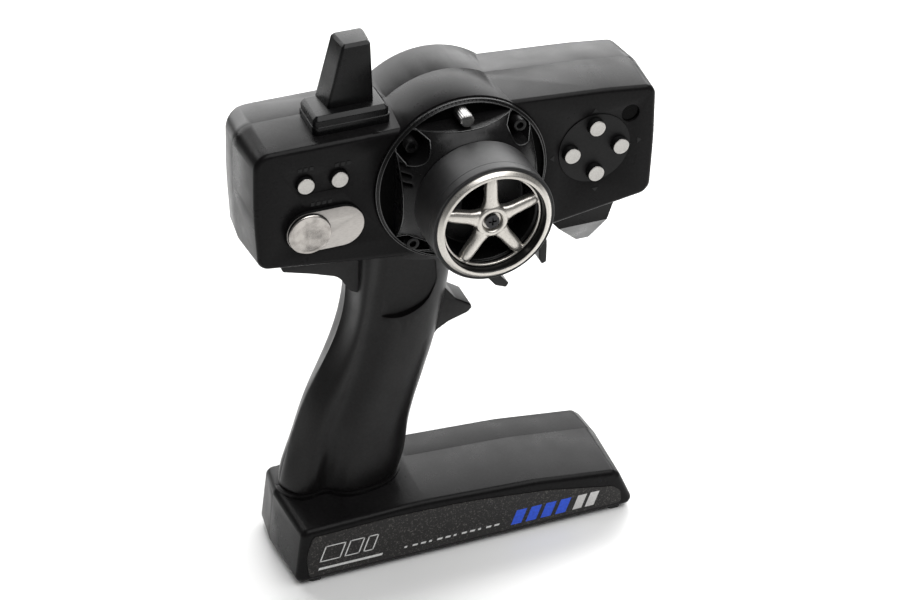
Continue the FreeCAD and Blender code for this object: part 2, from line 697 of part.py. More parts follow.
pad(star, "XZ_Plane", [circle(0, AXIS, 6.1)], "- star_front", -50.6)
for index in range(SPOKES):
    pad(star, "XZ_Plane", spoke(90.0 + index * 360.0 / SPOKES), -55.3, -52.6)
pad(star, "XZ_Plane", [circle(0, AXIS, 19.75), circle(0, AXIS, 18.9)], -55.0, -53.6)
cut(star, "XZ_Plane", [circle(0, AXIS, 4.2)], -56.0, -53.6)
cut(star, "XZ_Plane", [circle(0, AXIS, 1.5)], -54.0, -50.0)

hub_screw = new_body("wheel_screw")
pad(hub_screw, "XZ_Plane", [circle(0, AXIS, 2.8)], -55.2, -53.6)
pad(hub_screw, "XZ_Plane", [circle(0, AXIS, 1.4)], -53.6, -45.0)
for half_x, half_z in ((1.6, 0.35), (0.35, 1.6)):
    cut(hub_screw, "XZ_Plane", box_outline(-half_x, AXIS - half_z, half_x, AXIS + half_z), -55.3, -54.4)

# ---- steering mechanism, fixed in the drum -------------------------------------------------------

carrier = new_body("steering_carrier")
pad(carrier, "XZ_Plane", [circle(0, AXIS, 26.0)], -10.0, -7.0)
for angle in (150.0, 210.0, 30.0):
    x, z = about_axis(24.0, angle)
    pad(carrier, "XZ_Plane", [circle(x, z, 1.8)], "- plate_back", -9.0)
STOP_ANGLE = 57.0
for angle in (90.0 - STOP_ANGLE, 90.0 + STOP_ANGLE):
    x, z = about_axis(STOP_RADIUS, angle)
    pad(carrier, "XZ_Plane", [circle(x, z, 1.5)], -13.2, -9.0)
cut(carrier, "XZ_Plane", [circle(0, AXIS, "shaft_radius + running_fit")], -14.0, -6.0)

pot = new_body("steering_pot")
turn(pot, [(3.05, -6.95), (8.5, -6.95), (8.5, -1.0), (3.05, -1.0)], "axis_height")


def coil_sleeve(label, x, z, inner, wire, first, turns):
    """A close-wound torsion spring: a sleeve with one round rib per turn, on an axis parallel to Y."""
    body = new_body(label)
    lane = inner + wire / 2
    outline = [Part.LineSegment(Vector(inner, first, 0), Vector(lane, first, 0))]
    for index in range(turns):
        start = first + index * wire
        outline.append(Part.Arc(Vector(lane, start, 0), Vector(lane + wire / 2, start + wire / 2, 0),
                                Vector(lane, start + wire, 0)))
    last = first + turns * wire
    outline.append(Part.LineSegment(Vector(lane, last, 0), Vector(inner, last, 0)))
    outline.append(Part.LineSegment(Vector(inner, last, 0), Vector(inner, first, 0)))
    moved = [piece.copy() for piece in outline]
    turn(body, moved, z)
    body.setExpression("Placement.Base.x", f"dims.place_x + {x}")
    return body


coil_sleeve("steering_spring", 0.0, AXIS, 4.2, 1.6, -25.6, 7)

# ---- rate knob -----------------------------------------------------------------------------------

knob = new_body("rate_knob")
pad(knob, "XZ_Plane", [circle(knob_x, knob_z, "knob_radius")], "- knob_front", -22.3)
pad(knob, "XZ_Plane", [circle(knob_x, knob_z, "knob_shaft")], -22.5, -14.2)
KNURLS = 18
for index in range(KNURLS):
    turn_angle = 2 * math.pi * index / KNURLS
    x = knob_x + dim("knob_radius") * math.cos(turn_angle)
    z = knob_z + dim("knob_radius") * math.sin(turn_angle)
    cut(knob, "XZ_Plane", [circle(x, z, 0.22)], -32.4, -22.2)

knob_pot = new_body("rate_pot")
pad(knob_pot, "XZ_Plane", box_outline(-4.5, 199.4, 4.5, 207.2), -19.9, -12.0)
cut(knob_pot, "XZ_Plane", [circle(knob_x, knob_z, "knob_shaft + running_fit")], -20.0, -14.0)

# ---- keys and boards -----------------------------------------------------------------------------

KEYS = {
    "function_button": (dim("key_first"), dim("key_height"), "key_radius", "key_front"),
    "channel_button": (dim("key_second"), dim("key_height"), "key_radius", "key_front"),
}
for name, (dx, dz) in {"up": (0, 1), "down": (0, -1), "left": (-1, 0), "right": (1, 0)}.items():
    key_x = dim("trim_x") + dx * dim("trim_reach")
    key_z = dim("trim_height") + dz * dim("trim_reach")
    KEYS[f"trim_button_{name}"] = (key_x, key_z, "trim_key", "trim_front")
for label, (x, z, radius, front) in KEYS.items():
    key = new_body(label)
    trim = label.startswith("trim")
    flange_front, flange_back = (-18.4, -17.7) if trim else (-19.5, -18.7)
    pad(key, "XZ_Plane", [circle(x, z, radius)], f"- {front}", flange_front)
    face = on_level("y", -dim(front))
    round_edges(key, face, "key_round")
    pad(key, "XZ_Plane", [circle(x, z, dim(radius) + 0.9)], flange_front, flange_back)
    pad(key, "XZ_Plane", [circle(x, z, 1.5)], flange_back, -16.9)

switches = new_body("key_switches")
for x, z, radius, front in KEYS.values():
    pad(switches, "XZ_Plane", box_outline(x - 2.6, z - 2.6, x + 2.6, z + 2.6), SWITCH_TOP, BOARD_FACE)

disc = new_body("trim_disc")
pad(disc, "XZ_Plane", [circle(dim("trim_x"), dim("trim_height"), 14.9)], -22.3, -18.9)
pad(disc, "XZ_Plane", [circle(dim("trim_x"), dim("trim_height"), 16.6)], -19.7, -18.7)
for label, (x, z, radius, front) in KEYS.items():
    if label.startswith("trim"):
        cut(disc, "XZ_Plane", [circle(x, z, "trim_key + key_gap")], -23.0, -18.0)

power_cap = new_body("power_plate")
pad(power_cap, "XZ_Plane", stadium(dim("power_left"), dim("power_right"), power_height, dim("power_radius")),
    "- power_front", -19.85)
dome_x, dome_z = dim("power_left"), power_height
stem_slot = stadium(dome_x, dome_x + dim("power_travel"), dome_z, dim("stem_radius") + dim("key_gap"))
cut(power_cap, "XZ_Plane", stem_slot, -dim("power_front") - 1, -19.0)

slider = new_body("power_slider")
pad(slider, "XZ_Plane", [circle(dome_x, dome_z, "dome_radius")], "- dome_front", "- dome_back")
round_edges(slider, on_level("y", -dim("dome_front")), "dome_round")
pad(slider, "XZ_Plane", [circle(dome_x, dome_z, "stem_radius")], "- dome_back", -16.3)
keeper = box_outline(dome_x - 5.0, dome_z - 4.0, dome_x + 5.0, dome_z + 4.0, 1.0)
pad(slider, "XZ_Plane", keeper, -19.6, -18.6)

power_switch = new_body("power_switch")
pad(power_switch, "XZ_Plane", box_outline(-68.0, 161.2, -44.0, 168.8), -16.0, BOARD_FACE)


def board(label, corners, front, back):
    body = new_body(label)
    pad(body, "XZ_Plane", box_outline(*corners, 1.0), front, back)
    return body


board("key_board", (-76.0, 156.0, -38.0, 197.0), BOARD_FACE, BOARD_FACE + 1.5)
board("trim_board", (38.0, 158.0, 77.0, 193.0), BOARD_FACE, BOARD_FACE + 1.5)
board("main_board", (-78.0, 155.0, -38.4, 199.0), BOARD_BACK - 1.6, BOARD_BACK)
board("radio_module", (-61.0, 178.0, -44.0, 195.0), 1.2, BOARD_BACK - 1.6)

lens = new_body("status_window")
pad(lens, "XZ_Plane", [circle(dim("lens_x"), dim("lens_height"), "lens_radius")], -21.0, -19.9)
lamp = new_body("status_lamp")
pad(lamp, "XZ_Plane", [circle(dim("lens_x"), dim("lens_height"), 1.5)], -19.2, BOARD_FACE)

# ---- trigger -------------------------------------------------------------------------------------

PIVOT_X, PIVOT_Z = dim("pivot_x"), dim("pivot_height")
trigger = new_body("trigger")
trigger_outline = [
    (28.0, 136.4, 3.0), (20.8, 133.4, 5.0), (17.1, 124.4, 8.0), (17.7, 113.9, 5.0), (21.7, 108.6, 3.0),
    (26.3, 106.6, 0.8), (27.6, 108.3, 0.6), (23.9, 112.8, 2.0), (21.7, 117.4, 3.0), (21.5, 127.4, 4.0),
    (25.8, 132.4, 3.0), (36.0, 132.4, 3.0), (40.4, 127.4, 4.0), (40.4, 117.0, 1.5), (41.7, 114.2, 0.6),
    (43.7, 114.8, 0.8), (43.9, 125.4, 8.0), (40.3, 133.4, 5.0), (36.0, 136.4, 3.0),
    (36.0, PIVOT_Z, 0.0), (28.0, PIVOT_Z, 0.0),
]
pad(trigger, "XZ_Plane", rounded(trigger_outline), "- trigger_half", "trigger_half")
pad(trigger, "XZ_Plane", [circle(PIVOT_X, PIVOT_Z, 5.4)], "- trigger_half", "trigger_half")
cut(trigger, "XZ_Plane", [circle(PIVOT_X, PIVOT_Z, "pin_radius")], -8.0, 8.0)

pin = new_body("trigger_pin")
pad(pin, "XZ_Plane", [circle(PIVOT_X, PIVOT_Z, "pin_radius")], -8.6, 13.0)

bracket = new_body("trigger_bracket")
for side in (-1, 1):
    pad(bracket, "XZ_Plane", box_outline(26.5, 148.5, 39.5, 166.0, 2.0), side * 6.6, side * 8.4)
pad(bracket, "XY_Plane", box_outline(26.5, -8.4, 39.5, 8.4), 164.0, 166.0)
cut(bracket, "XZ_Plane", [circle(PIVOT_X, PIVOT_Z, "pin_radius + running_fit")], -10.0, 10.0)

throttle_pot = new_body("throttle_pot")
pad(throttle_pot, "XZ_Plane", [circle(PIVOT_X, PIVOT_Z, 7.0)], 8.4, 15.0)
cut(throttle_pot, "XZ_Plane", [circle(PIVOT_X, PIVOT_Z, "pin_radius + running_fit")], 8.0, 16.0)

coil_sleeve("trigger_spring", PIVOT_X, PIVOT_Z, 2.2, 0.65, -6.45, 2)

# ---- grip ----------------------------------------------------------------------------------------

REST_OUTLINE = [
    (-8.0, 89.5, 0.8), (-4.0, 94.6, 2.0), (0.8, 97.4, 4.0), (9.2, 100.0, 3.0), (11.0, 101.8, 0.8),
    (10.4, 103.6, 1.0), (4.0, 108.0, 6.0), (-0.5, 114.2, 1.0), (-8.0, 114.2, 0.8),
]


def make_grip_shell(label, side):
    body = new_body(label)
    loft(body, "AdditiveLoft", "XY_Plane", [(level[0], grip_section(level, side)) for level in GRIP_LEVELS])
    tail = [
        (-70.0, 153.0, 0.0), (-68.3, 138.8, 1.5), (-57.0, 135.4, 10.0), (-45.5, 131.2, 7.0),
        (-40.6, 123.0, 6.0), (-30.0, 119.0, 0.0), (-30.0, 153.0, 0.0),
    ]
    pad(body, "XZ_Plane", rounded(tail), 0.0, side * 8.0)
    loft(body, "SubtractiveLoft", "XY_Plane",
         [(level[0], grip_section(level, side, dim("grip_wall"))) for level in GRIP_LEVELS])
    cut_head_away(body, side)
    cut(body, "XZ_Plane", [circle(0, AXIS, dim("drum_radius") + 0.02)], 0.0, side * 20.0)
    cut(body, "XZ_Plane", rounded(inset(REST_OUTLINE, -0.05)), 0.0, side * (dim("rest_half") + 0.05))
    for spot, boss_reach, seat in zip(GRIP_SCREWS, GRIP_BOSSES, GRIP_SEATS):
        screw_boss(body, side, spot, boss_reach, seat)
    return body


GRIP_BOSSES = (8.0, 11.0)
GRIP_SEATS = (4.4, 7.0)
grip_right = make_grip_shell("grip_right_shell", -1)
grip_left = make_grip_shell("grip_left_shell", 1)
thumb_pad = [
    (-35.5, 112.2, 2.0), (-20.0, 110.4, 18.0), (-10.5, 115.0, 12.0), (-6.4, 123.5, 8.0), (-7.2, 134.2, 2.0),
    (-27.3, 139.4, 1.0), (-29.0, 134.0, 6.0),
]
cut(grip_right, "XZ_Plane", rounded(thumb_pad), -20.0, -12.6)

shell_screws("grip_screws", GRIP_SCREWS, GRIP_SEATS)

finger_rest = new_body("finger_rest")
pad(finger_rest, "XZ_Plane", rounded(REST_OUTLINE), "- rest_half", "rest_half")

# ---- base ----------------------------------------------------------------------------------------

PLINTH_LIP = -1.2
PLINTH_TOP = GRIP_LEVELS[0][0]


def make_base_shell(label, side):
    body = new_body(label)
    depth = dim("base_front") if side < 0 else dim("base_rear")
    drop = 2.4 if side < 0 else 2.2
    wall = dim("base_wall")
    outer, far = base_outline(0.0), base_outline(drop)
    loft(body, "AdditiveLoft", "XZ_Plane", [(0.0, rounded(outer)), (side * depth, rounded(far))])
    round_edges(body, on_level("y", side * depth), "base_round")
    loft(body, "SubtractiveLoft", "XZ_Plane",
         [(0.0, rounded(inset(outer, wall))), (side * (depth - wall), rounded(inset(far, wall)))])
    pad(body, "XY_Plane", grip_section(GRIP_LEVELS[0], side, PLINTH_LIP), 22.0, PLINTH_TOP)
    cut(body, "XY_Plane", box_outline(-49.0, 0.0, -40.0, side * 4.0), 21.0, 30.0)
    cut(body, "XY_Plane", box_outline(-60.0, 0.0, 56.0, -22.0 if side < 0 else 12.0), -1.0, 2.4)
    for spot in BASE_SCREWS:
        screw_boss(body, side, spot, depth - 1.5, BASE_SEAT)
    return body


BASE_SEAT = 13.0
base_front = make_base_shell("base_front_shell", -1)
base_rear = make_base_shell("base_rear_shell", 1)
shell_screws("base_screws", BASE_SCREWS, [BASE_SEAT] * 2)

cover = new_body("battery_cover")
pad(cover, "XY_Plane", box_outline(-59.8, -21.8, 45.8, 11.8, 2.0), 0.0, 2.0)
for index in range(5):
    x = 32.0 + 2.6 * index
    cut(cover, "XY_Plane", box_outline(x, -12.0, x + 1.2, 2.0), 0.0, 0.8)

feet = new_body("base_feet")
for x in (-67.7, 64.7):
    for y in (-28.0, 8.0):
        pad(feet, "XY_Plane", box_outline(x, y, x + 5.3, y + 8.0, 1.5), "- foot", 0.0)

label = new_body("base_label")
LABEL = [
    (-68.4, 2.8, 1.5), (69.4, 2.8, 1.5), (69.0, 9.0, 2.0), (65.6, 12.2, 3.0), (36.0, 18.4, 60.0),
    (0.0, 22.6, 200.0), (-33.0, 23.8, 60.0), (-66.2, 22.8, 2.0), (-69.4, 14.0, 20.0),
]
pad(label, "XZ_Plane", rounded(LABEL), -dim("base_front") - 0.3, -dim("base_front"))

tray = new_body("battery_tray")
pad(tray, "XY_Plane", box_outline(-59.4, -21.6, 46.4, 10.0), 2.8, 19.3)
cut(tray, "XY_Plane", box_outline(-58.4, -20.6, 45.4, 9.0), 2.0, 18.2)

CELL_Z = 10.9
CELL_STARTS = (-57.0, -6.3)
CELL_ROWS = (-13.3, 1.7)
cells = new_body("battery_cells")
contacts = new_body("battery_contacts")
for row_y in CELL_ROWS:
    for start in CELL_STARTS:
        tip = start + dim("cell_length")
        pad(cells, "YZ_Plane", [circle(row_y, CELL_Z, "cell_radius")], start, tip - 1.2)
        pad(cells, "YZ_Plane", [circle(row_y, CELL_Z, 2.7)], tip - 1.3, tip)
    pad(contacts, "YZ_Plane", [circle(row_y, CELL_Z, 3.2)], -58.2, -57.05)
    pad(contacts, "YZ_Plane", box_outline(row_y - 5.0, CELL_Z - 5.0, row_y + 5.0, CELL_Z + 5.0), 44.2, 45.2)

# ---- lead from the tray to the head --------------------------------------------------------------

lead = new_body("battery_lead")
LEAD_ROUTE = [(-44.5, 19.5), (-45.0, 42.0), (-38.5, 70.0), (-29.0, 98.0), (-25.0, 126.0), (-28.0, 153.0)]


def open_route(points):
    """Straight runs joined by tangent arcs whose radius is as large as the shorter run allows."""
    spots = [Vector(a, b, 0) for a, b in points]
    runs = []
    start = spots[0]
    for before, corner, after in zip(spots, spots[1:], spots[2:]):
        back, ahead = before - corner, after - corner
        shorter = min(back.Length, ahead.Length)
        back.normalize()
        ahead.normalize()
        half = back.getAngle(ahead) / 2
        reach = 0.45 * shorter
        radius = reach * math.tan(half)
        bisector = back + ahead
        bisector.normalize()
        first, last = corner + back * reach, corner + ahead * reach
        runs.append(Part.LineSegment(start, first))
        runs.append(Part.Arc(first, corner + bisector * (radius / math.sin(half) - radius), last))
        start = last
    runs.append(Part.LineSegment(start, spots[-1]))
    return runs


profile = add_sketch(lead, "XY_Plane", [circle(LEAD_ROUTE[0][0], 0.0, 1.6)], LEAD_ROUTE[0][1])
spine = add_sketch(lead, "XZ_Plane", open_route(LEAD_ROUTE))
finish(lead, add_feature(lead, "AdditivePipe", Profile=profile, Spine=spine))

# ---- checks and export ---------------------------------------------------------------------------

doc.recompute()
for item in doc.Objects:
    if "Invalid" in item.State or "Error" in item.State:
        raise ValueError(f"{item.Label} is in state {item.State}")
os.makedirs("parts", exist_ok=True)
for body in PARTS:
    if body.Shape.isNull() or not body.Shape.isValid():
        raise ValueError(f"{body.Label} has no valid shape")
    body.Shape.exportStep(f"parts/{body.Label}.step")
    box = body.Shape.BoundBox
    low = " ".join(f"{level:.2f}" for level in (box.XMin, box.YMin, box.ZMin))
    high = " ".join(f"{level:.2f}" for level in (box.XMax, box.YMax, box.ZMax))
    print(f"{body.Label}: {len(body.Shape.Solids)} solid(s), {body.Shape.Volume:.0f} mm3, {low} to {high}")
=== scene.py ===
"""Looks of a pistol-grip radio transmitter: black moulded shells, silver keys and a silver-spoked wheel.

Local sizes are in millimetres about the design origin: x from the wheel's axis, y from the shells' parting
plane (minus is the wheel's side), z from the underside of the base.
"""
import json
import math

import bmesh
import bpy
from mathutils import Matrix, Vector


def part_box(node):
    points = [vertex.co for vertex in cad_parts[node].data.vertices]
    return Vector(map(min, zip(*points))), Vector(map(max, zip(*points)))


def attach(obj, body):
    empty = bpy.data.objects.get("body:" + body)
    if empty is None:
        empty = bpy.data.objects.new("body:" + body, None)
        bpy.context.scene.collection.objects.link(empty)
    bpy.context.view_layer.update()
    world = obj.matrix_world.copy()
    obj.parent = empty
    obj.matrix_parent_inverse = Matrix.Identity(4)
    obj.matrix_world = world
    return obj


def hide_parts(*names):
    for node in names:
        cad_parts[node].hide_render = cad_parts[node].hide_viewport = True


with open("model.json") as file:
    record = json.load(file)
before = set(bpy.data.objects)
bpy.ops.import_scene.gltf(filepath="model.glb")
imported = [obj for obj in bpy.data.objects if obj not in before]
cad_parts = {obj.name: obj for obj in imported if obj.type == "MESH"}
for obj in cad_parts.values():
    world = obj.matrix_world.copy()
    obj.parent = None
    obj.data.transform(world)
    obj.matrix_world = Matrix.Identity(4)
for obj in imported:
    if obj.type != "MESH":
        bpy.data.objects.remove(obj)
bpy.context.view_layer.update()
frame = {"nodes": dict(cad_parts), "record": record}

MM = 0.001
NODES = frame["nodes"]
BODIES = frame["record"]["behaviour"]["bodies"]
SLOT_OF = {entry["node"]: entry["material_slot"] for entry in frame["record"]["subparts"]}
BODY_OF = {node: body for body, members in BODIES.items() for node in members}
scene = bpy.context.scene

wheel_low, wheel_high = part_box("wheel_tyre")
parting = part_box("head_front_shell")[1].y
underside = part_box("base_front_shell")[0].z
ORIGIN = Vector(((wheel_low.x + wheel_high.x) / 2, parting, underside))
AXIS = ((wheel_low.z + wheel_high.z) / 2 - ORIGIN.z) / MM
TURNED = 144  # facets round a large turned piece


def at(x, y, z):
    """A point in the row frame from millimetres about the design origin."""
    return ORIGIN + MM * Vector((x, y, z))


def local_box(node):
    """A node's box in millimetres about the design origin."""
    low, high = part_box(node)
    return (low - ORIGIN) / MM, (high - ORIGIN) / MM


def about_axis(radius, angle):
    """The (x, z) of a point round the wheel's axis, from its distance and its angle in degrees."""
    return radius * math.cos(math.radians(angle)), AXIS + radius * math.sin(math.radians(angle))


# ---- materials: noise scales are per metre, bump heights in metres -------------------------------

PATCH_SCALE = 90.0
TINT_SCALE = 900.0
GRAIN_SCALE = 2600.0
FOAM_PATCH_SCALE = 260.0
FOAM_PIT_SCALE = 1500.0
FLAKE_SCALE = 2200.0
SWIRL_SCALE = 1500.0
CLOUD_SCALE = 260.0
METAL_SCALE = 700.0
SPECK_SCALE = 1400.0
FILM_SCALE = 2400.0


def new_material(name, colour, roughness, metallic=0.0, specular=0.5):
    material = bpy.data.materials.new(name)
    material.use_nodes = True
    shader = material.node_tree.nodes["Principled BSDF"]
    shader.inputs["Base Color"].default_value = (*colour, 1.0)
    shader.inputs["Roughness"].default_value = roughness
    shader.inputs["Metallic"].default_value = metallic
    shader.inputs["Specular IOR Level"].default_value = specular
    return material, material.node_tree, shader


def noise(tree, scale, detail=3.0, roughness=0.5):
    """Noise over the piece's own coordinates, which are metres in the row frame."""
    place = tree.nodes.new("ShaderNodeTexCoord")
    texture = tree.nodes.new("ShaderNodeTexNoise")
    texture.inputs["Scale"].default_value = scale
    texture.inputs["Detail"].default_value = detail
    texture.inputs["Roughness"].default_value = roughness
    tree.links.new(place.outputs["Object"], texture.inputs["Vector"])
    return texture.outputs["Fac"]


def ramp(tree, source, low, high, from_low=0.3, from_high=0.7):
    mapped = tree.nodes.new("ShaderNodeMapRange")
    mapped.inputs["From Min"].default_value = from_low
    mapped.inputs["From Max"].default_value = from_high
    mapped.inputs["To Min"].default_value = low
    mapped.inputs["To Max"].default_value = high
    tree.links.new(source, mapped.inputs["Value"])
    return mapped.outputs["Result"]


def colour_mix(tree, factor, first, second):
    mixed = tree.nodes.new("ShaderNodeMix")
    mixed.data_type = "RGBA"
    mixed.inputs["A"].default_value = (*first, 1.0)
    mixed.inputs["B"].default_value = (*second, 1.0)
    tree.links.new(factor, mixed.inputs["Factor"])
    return mixed.outputs["Result"]


def add_bump(tree, shader, height, distance):
    bump = tree.nodes.new("ShaderNodeBump")
    bump.inputs["Strength"].default_value = 1.0
    bump.inputs["Distance"].default_value = distance
    tree.links.new(height, bump.inputs["Height"])
    tree.links.new(bump.outputs["Normal"], shader.inputs["Normal"])


def vector_math(tree, operation, source, value=None):
    node = tree.nodes.new("ShaderNodeVectorMath")
    node.operation = operation
    tree.links.new(source, node.inputs[0])
    if value is not None:
        node.inputs[1].default_value = value
    return node


def moulded_plastic(name, colour, roughness, grain=0.00002, specular=0.4):
    """Spark-textured moulded plastic: a fine grain, patchy gloss and a little dust-grey in the colour."""
    material, tree, shader = new_material(name, colour, roughness, specular=specular)
    gloss = ramp(tree, noise(tree, PATCH_SCALE, detail=4.0), roughness - 0.05, roughness + 0.06)
    tree.links.new(gloss, shader.inputs["Roughness"])
    lighter = tuple(channel * 1.35 + 0.002 for channel in colour)
    tint = ramp(tree, noise(tree, TINT_SCALE, detail=5.0), 0.0, 1.0, 0.35, 0.75)
    tree.links.new(colour_mix(tree, tint, colour, lighter), shader.inputs["Base Color"])
    add_bump(tree, shader, noise(tree, GRAIN_SCALE, detail=2.0), grain)
    return material


def foam_rubber(name, colour, lighter):
    """Dense foam tyre: matt, pitted and a little uneven in shade."""
    material, tree, shader = new_material(name, colour, 0.46)
    patches = ramp(tree, noise(tree, FOAM_PATCH_SCALE, detail=6.0, roughness=0.65), 0.0, 1.0)
    tree.links.new(colour_mix(tree, patches, colour, lighter), shader.inputs["Base Color"])
    add_bump(tree, shader, noise(tree, FOAM_PIT_SCALE, detail=4.0, roughness=0.7), 0.00004)
    return material


def satin_silver(name, colour, roughness, stretch=(1.0, 1.0, 1.0)):
    """Silver lacquer: fine metallic flake, with a faint brushed direction where stretch is uneven."""
    material, tree, shader = new_material(name, colour, roughness, metallic=0.9)
    place = tree.nodes.new("ShaderNodeTexCoord")
    mapping = tree.nodes.new("ShaderNodeMapping")
    mapping.inputs["Scale"].default_value = stretch
    tree.links.new(place.outputs["Object"], mapping.inputs["Vector"])
    flake = tree.nodes.new("ShaderNodeTexNoise")
    flake.inputs["Scale"].default_value = FLAKE_SCALE
    flake.inputs["Detail"].default_value = 3.0
    tree.links.new(mapping.outputs["Vector"], flake.inputs["Vector"])
    darker = tuple(channel * 0.88 for channel in colour)
    shade = ramp(tree, flake.outputs["Fac"], 0.0, 1.0, 0.4, 0.65)
    tree.links.new(colour_mix(tree, shade, colour, darker), shader.inputs["Base Color"])
    gloss = ramp(tree, flake.outputs["Fac"], roughness - 0.05, roughness + 0.08)
    tree.links.new(gloss, shader.inputs["Roughness"])
    add_bump(tree, shader, flake.outputs["Fac"], 0.000005)
    return material


def swirled_silver(name, colour, roughness, centre):
    """Silver lacquer turned in rings about an axis parallel to Y through centre, with cloudy patches."""
    material, tree, shader = new_material(name, colour, roughness, metallic=0.9)
    place = tree.nodes.new("ShaderNodeTexCoord")
    offset = vector_math(tree, "SUBTRACT", place.outputs["Object"], centre)
    flat = vector_math(tree, "MULTIPLY", offset.outputs["Vector"], (1.0, 0.0, 1.0))
    reach = vector_math(tree, "LENGTH", flat.outputs["Vector"])
    rings = tree.nodes.new("ShaderNodeTexNoise")
    rings.noise_dimensions = "1D"
    rings.inputs["Scale"].default_value = SWIRL_SCALE
    rings.inputs["Detail"].default_value = 3.0
    tree.links.new(reach.outputs["Value"], rings.inputs["W"])
    clouds = noise(tree, CLOUD_SCALE)
    darker = tuple(channel * 0.55 for channel in colour)
    shade = ramp(tree, clouds, 0.0, 1.0, 0.38, 0.7)
    tree.links.new(colour_mix(tree, shade, colour, darker), shader.inputs["Base Color"])
    gloss = ramp(tree, clouds, roughness - 0.06, roughness + 0.1)
    tree.links.new(gloss, shader.inputs["Roughness"])
    add_bump(tree, shader, rings.outputs["Fac"], 0.00004)
    return material


def plain_metal(name, colour, roughness):
    """Machined or blackened metal with small marks in its gloss."""
    material, tree, shader = new_material(name, colour, roughness, metallic=1.0)
    marks = noise(tree, METAL_SCALE, detail=5.0)
    gloss = ramp(tree, marks, roughness - 0.06, roughness + 0.1)
    tree.links.new(gloss, shader.inputs["Roughness"])
    add_bump(tree, shader, marks, 0.00001)
    return material


def speckled_film(name, ground, speck):
    """Printed film with a dark grey-brown ground and light metallic specks."""
    material, tree, shader = new_material(name, ground, 0.38, specular=0.3)
    specks = ramp(tree, noise(tree, SPECK_SCALE, detail=2.0, roughness=0.8), 0.0, 1.0, 0.55, 0.72)
    tree.links.new(colour_mix(tree, specks, ground, speck), shader.inputs["Base Color"])
    add_bump(tree, shader, noise(tree, FILM_SCALE, detail=2.0), 0.00001)
    return material


SHELL = moulded_plastic("shell_black", (0.0052, 0.0049, 0.0051), 0.3, specular=0.1)
SHELL_REAR = moulded_plastic("shell_black_rear", (0.0056, 0.0052, 0.0055), 0.36, specular=0.34)
LIP = moulded_plastic("lip_black", (0.008, 0.008, 0.0082), 0.2, grain=0.000004, specular=0.9)
# near-black and almost without reflection: painted shade for the floors of the plate's wells, recesses and
# vents
POCKET_SHADE = moulded_plastic("pocket_painted_shade", (0.002, 0.002, 0.002), 0.6, grain=0.00001, specular=0.03)
GRIP = moulded_plastic("grip_black", (0.006, 0.0055, 0.0057), 0.35, grain=0.000016, specular=0.24)
PLATE = moulded_plastic("plate_black", (0.0042, 0.004, 0.0042), 0.26, specular=0.24)
MAST = moulded_plastic("antenna_black", (0.004, 0.004, 0.0042), 0.26, grain=0.00001, specular=0.22)
DISC = moulded_plastic("disc_black", (0.0048, 0.0046, 0.0048), 0.38, grain=0.00001, specular=0.2)
TRIGGER = moulded_plastic("trigger_black", (0.004, 0.004, 0.0042), 0.3, grain=0.00001, specular=0.25)
KEY_SIDE = moulded_plastic("key_black", (0.005, 0.005, 0.0052), 0.4, grain=0.000006, specular=0.25)
INNER = moulded_plastic("inner_grey", (0.06, 0.06, 0.063), 0.5)
BOARD = moulded_plastic("board_green", (0.01, 0.09, 0.04), 0.35, grain=0.000006)
CELL = moulded_plastic("cell_blue", (0.02, 0.06, 0.22), 0.3, grain=0.000004)
LEAD = moulded_plastic("lead_red", (0.25, 0.012, 0.012), 0.45, grain=0.000006)
FOAM = foam_rubber("tyre_foam", (0.008, 0.008, 0.0085), (0.02, 0.0195, 0.02))
FEET = moulded_plastic("feet_rubber", (0.03, 0.03, 0.03), 0.7)
SILVER = satin_silver("ring_silver", (0.7, 0.67, 0.62), 0.3)
KEY = satin_silver("key_silver", (0.55, 0.535, 0.51), 0.36)
SLIDER = satin_silver("slider_silver", (0.5, 0.475, 0.45), 0.34, stretch=(0.25, 1.0, 2.2))
KNOB = plain_metal("knob_steel", (0.34, 0.335, 0.33), 0.3)
STEEL = plain_metal("shaft_steel", (0.55, 0.55, 0.56), 0.25)
BLACK_STEEL = plain_metal("screw_black", (0.045, 0.045, 0.047), 0.3)
BRASS = plain_metal("bush_brass", (0.7, 0.5, 0.2), 0.3)
FILM = speckled_film("label_film", (0.012, 0.011, 0.0105), (0.12, 0.112, 0.104))
WINDOW = moulded_plastic("window_smoke", (0.0012, 0.001, 0.001), 0.2, grain=0.000001, specular=0.05)
LAMP = moulded_plastic("lamp_red", (0.5, 0.03, 0.02), 0.2, grain=0.000002)
INK_WHITE = moulded_plastic("ink_white", (0.62, 0.62, 0.61), 0.4, grain=0.000003)
INK_BLUE = moulded_plastic("ink_blue", (0.012, 0.075, 0.62), 0.35, grain=0.000003)
INK_SILVER = satin_silver("ink_silver", (0.62, 0.61, 0.6), 0.38)

BY_SLOT = {
    "shell_plastic": SHELL, "grip_plastic": GRIP, "trigger_plastic": TRIGGER, "antenna_plastic": MAST,
    "plate_plastic": PLATE, "wheel_plastic": PLATE, "tyre_rubber": FOAM, "feet_rubber": FEET,
    "ring_silver": SILVER, "spoke_silver": SILVER, "key_silver": KEY, "slider_silver": SLIDER,
    "disc_plastic": DISC, "knob_plastic": KNOB, "window_plastic": WINDOW, "lamp_plastic": LAMP,
    "cover_plastic": SHELL, "label_film": FILM, "shaft_steel": STEEL, "screw_steel": BLACK_STEEL,
    "spring_steel": STEEL, "contact_steel": STEEL, "bush_brass": BRASS, "carrier_plastic": INNER,
    "part_plastic": INNER, "board_green": BOARD, "module_can": STEEL, "cell_wrap": CELL, "lead_sleeve": LEAD,
}


def dress(piece, material):
    """Gives the whole piece one material."""
    piece.data.materials.clear()
    piece.data.materials.append(material)


def paint(piece, material, chosen):
    """Puts one more material on the faces for which chosen(polygon) holds."""
    piece.data.materials.append(material)
    for polygon in piece.data.polygons:
        if chosen(polygon):
            polygon.material_index = len(piece.data.materials) - 1


def on_wheel_side(polygon):
    return polygon.normal.y < -0.6


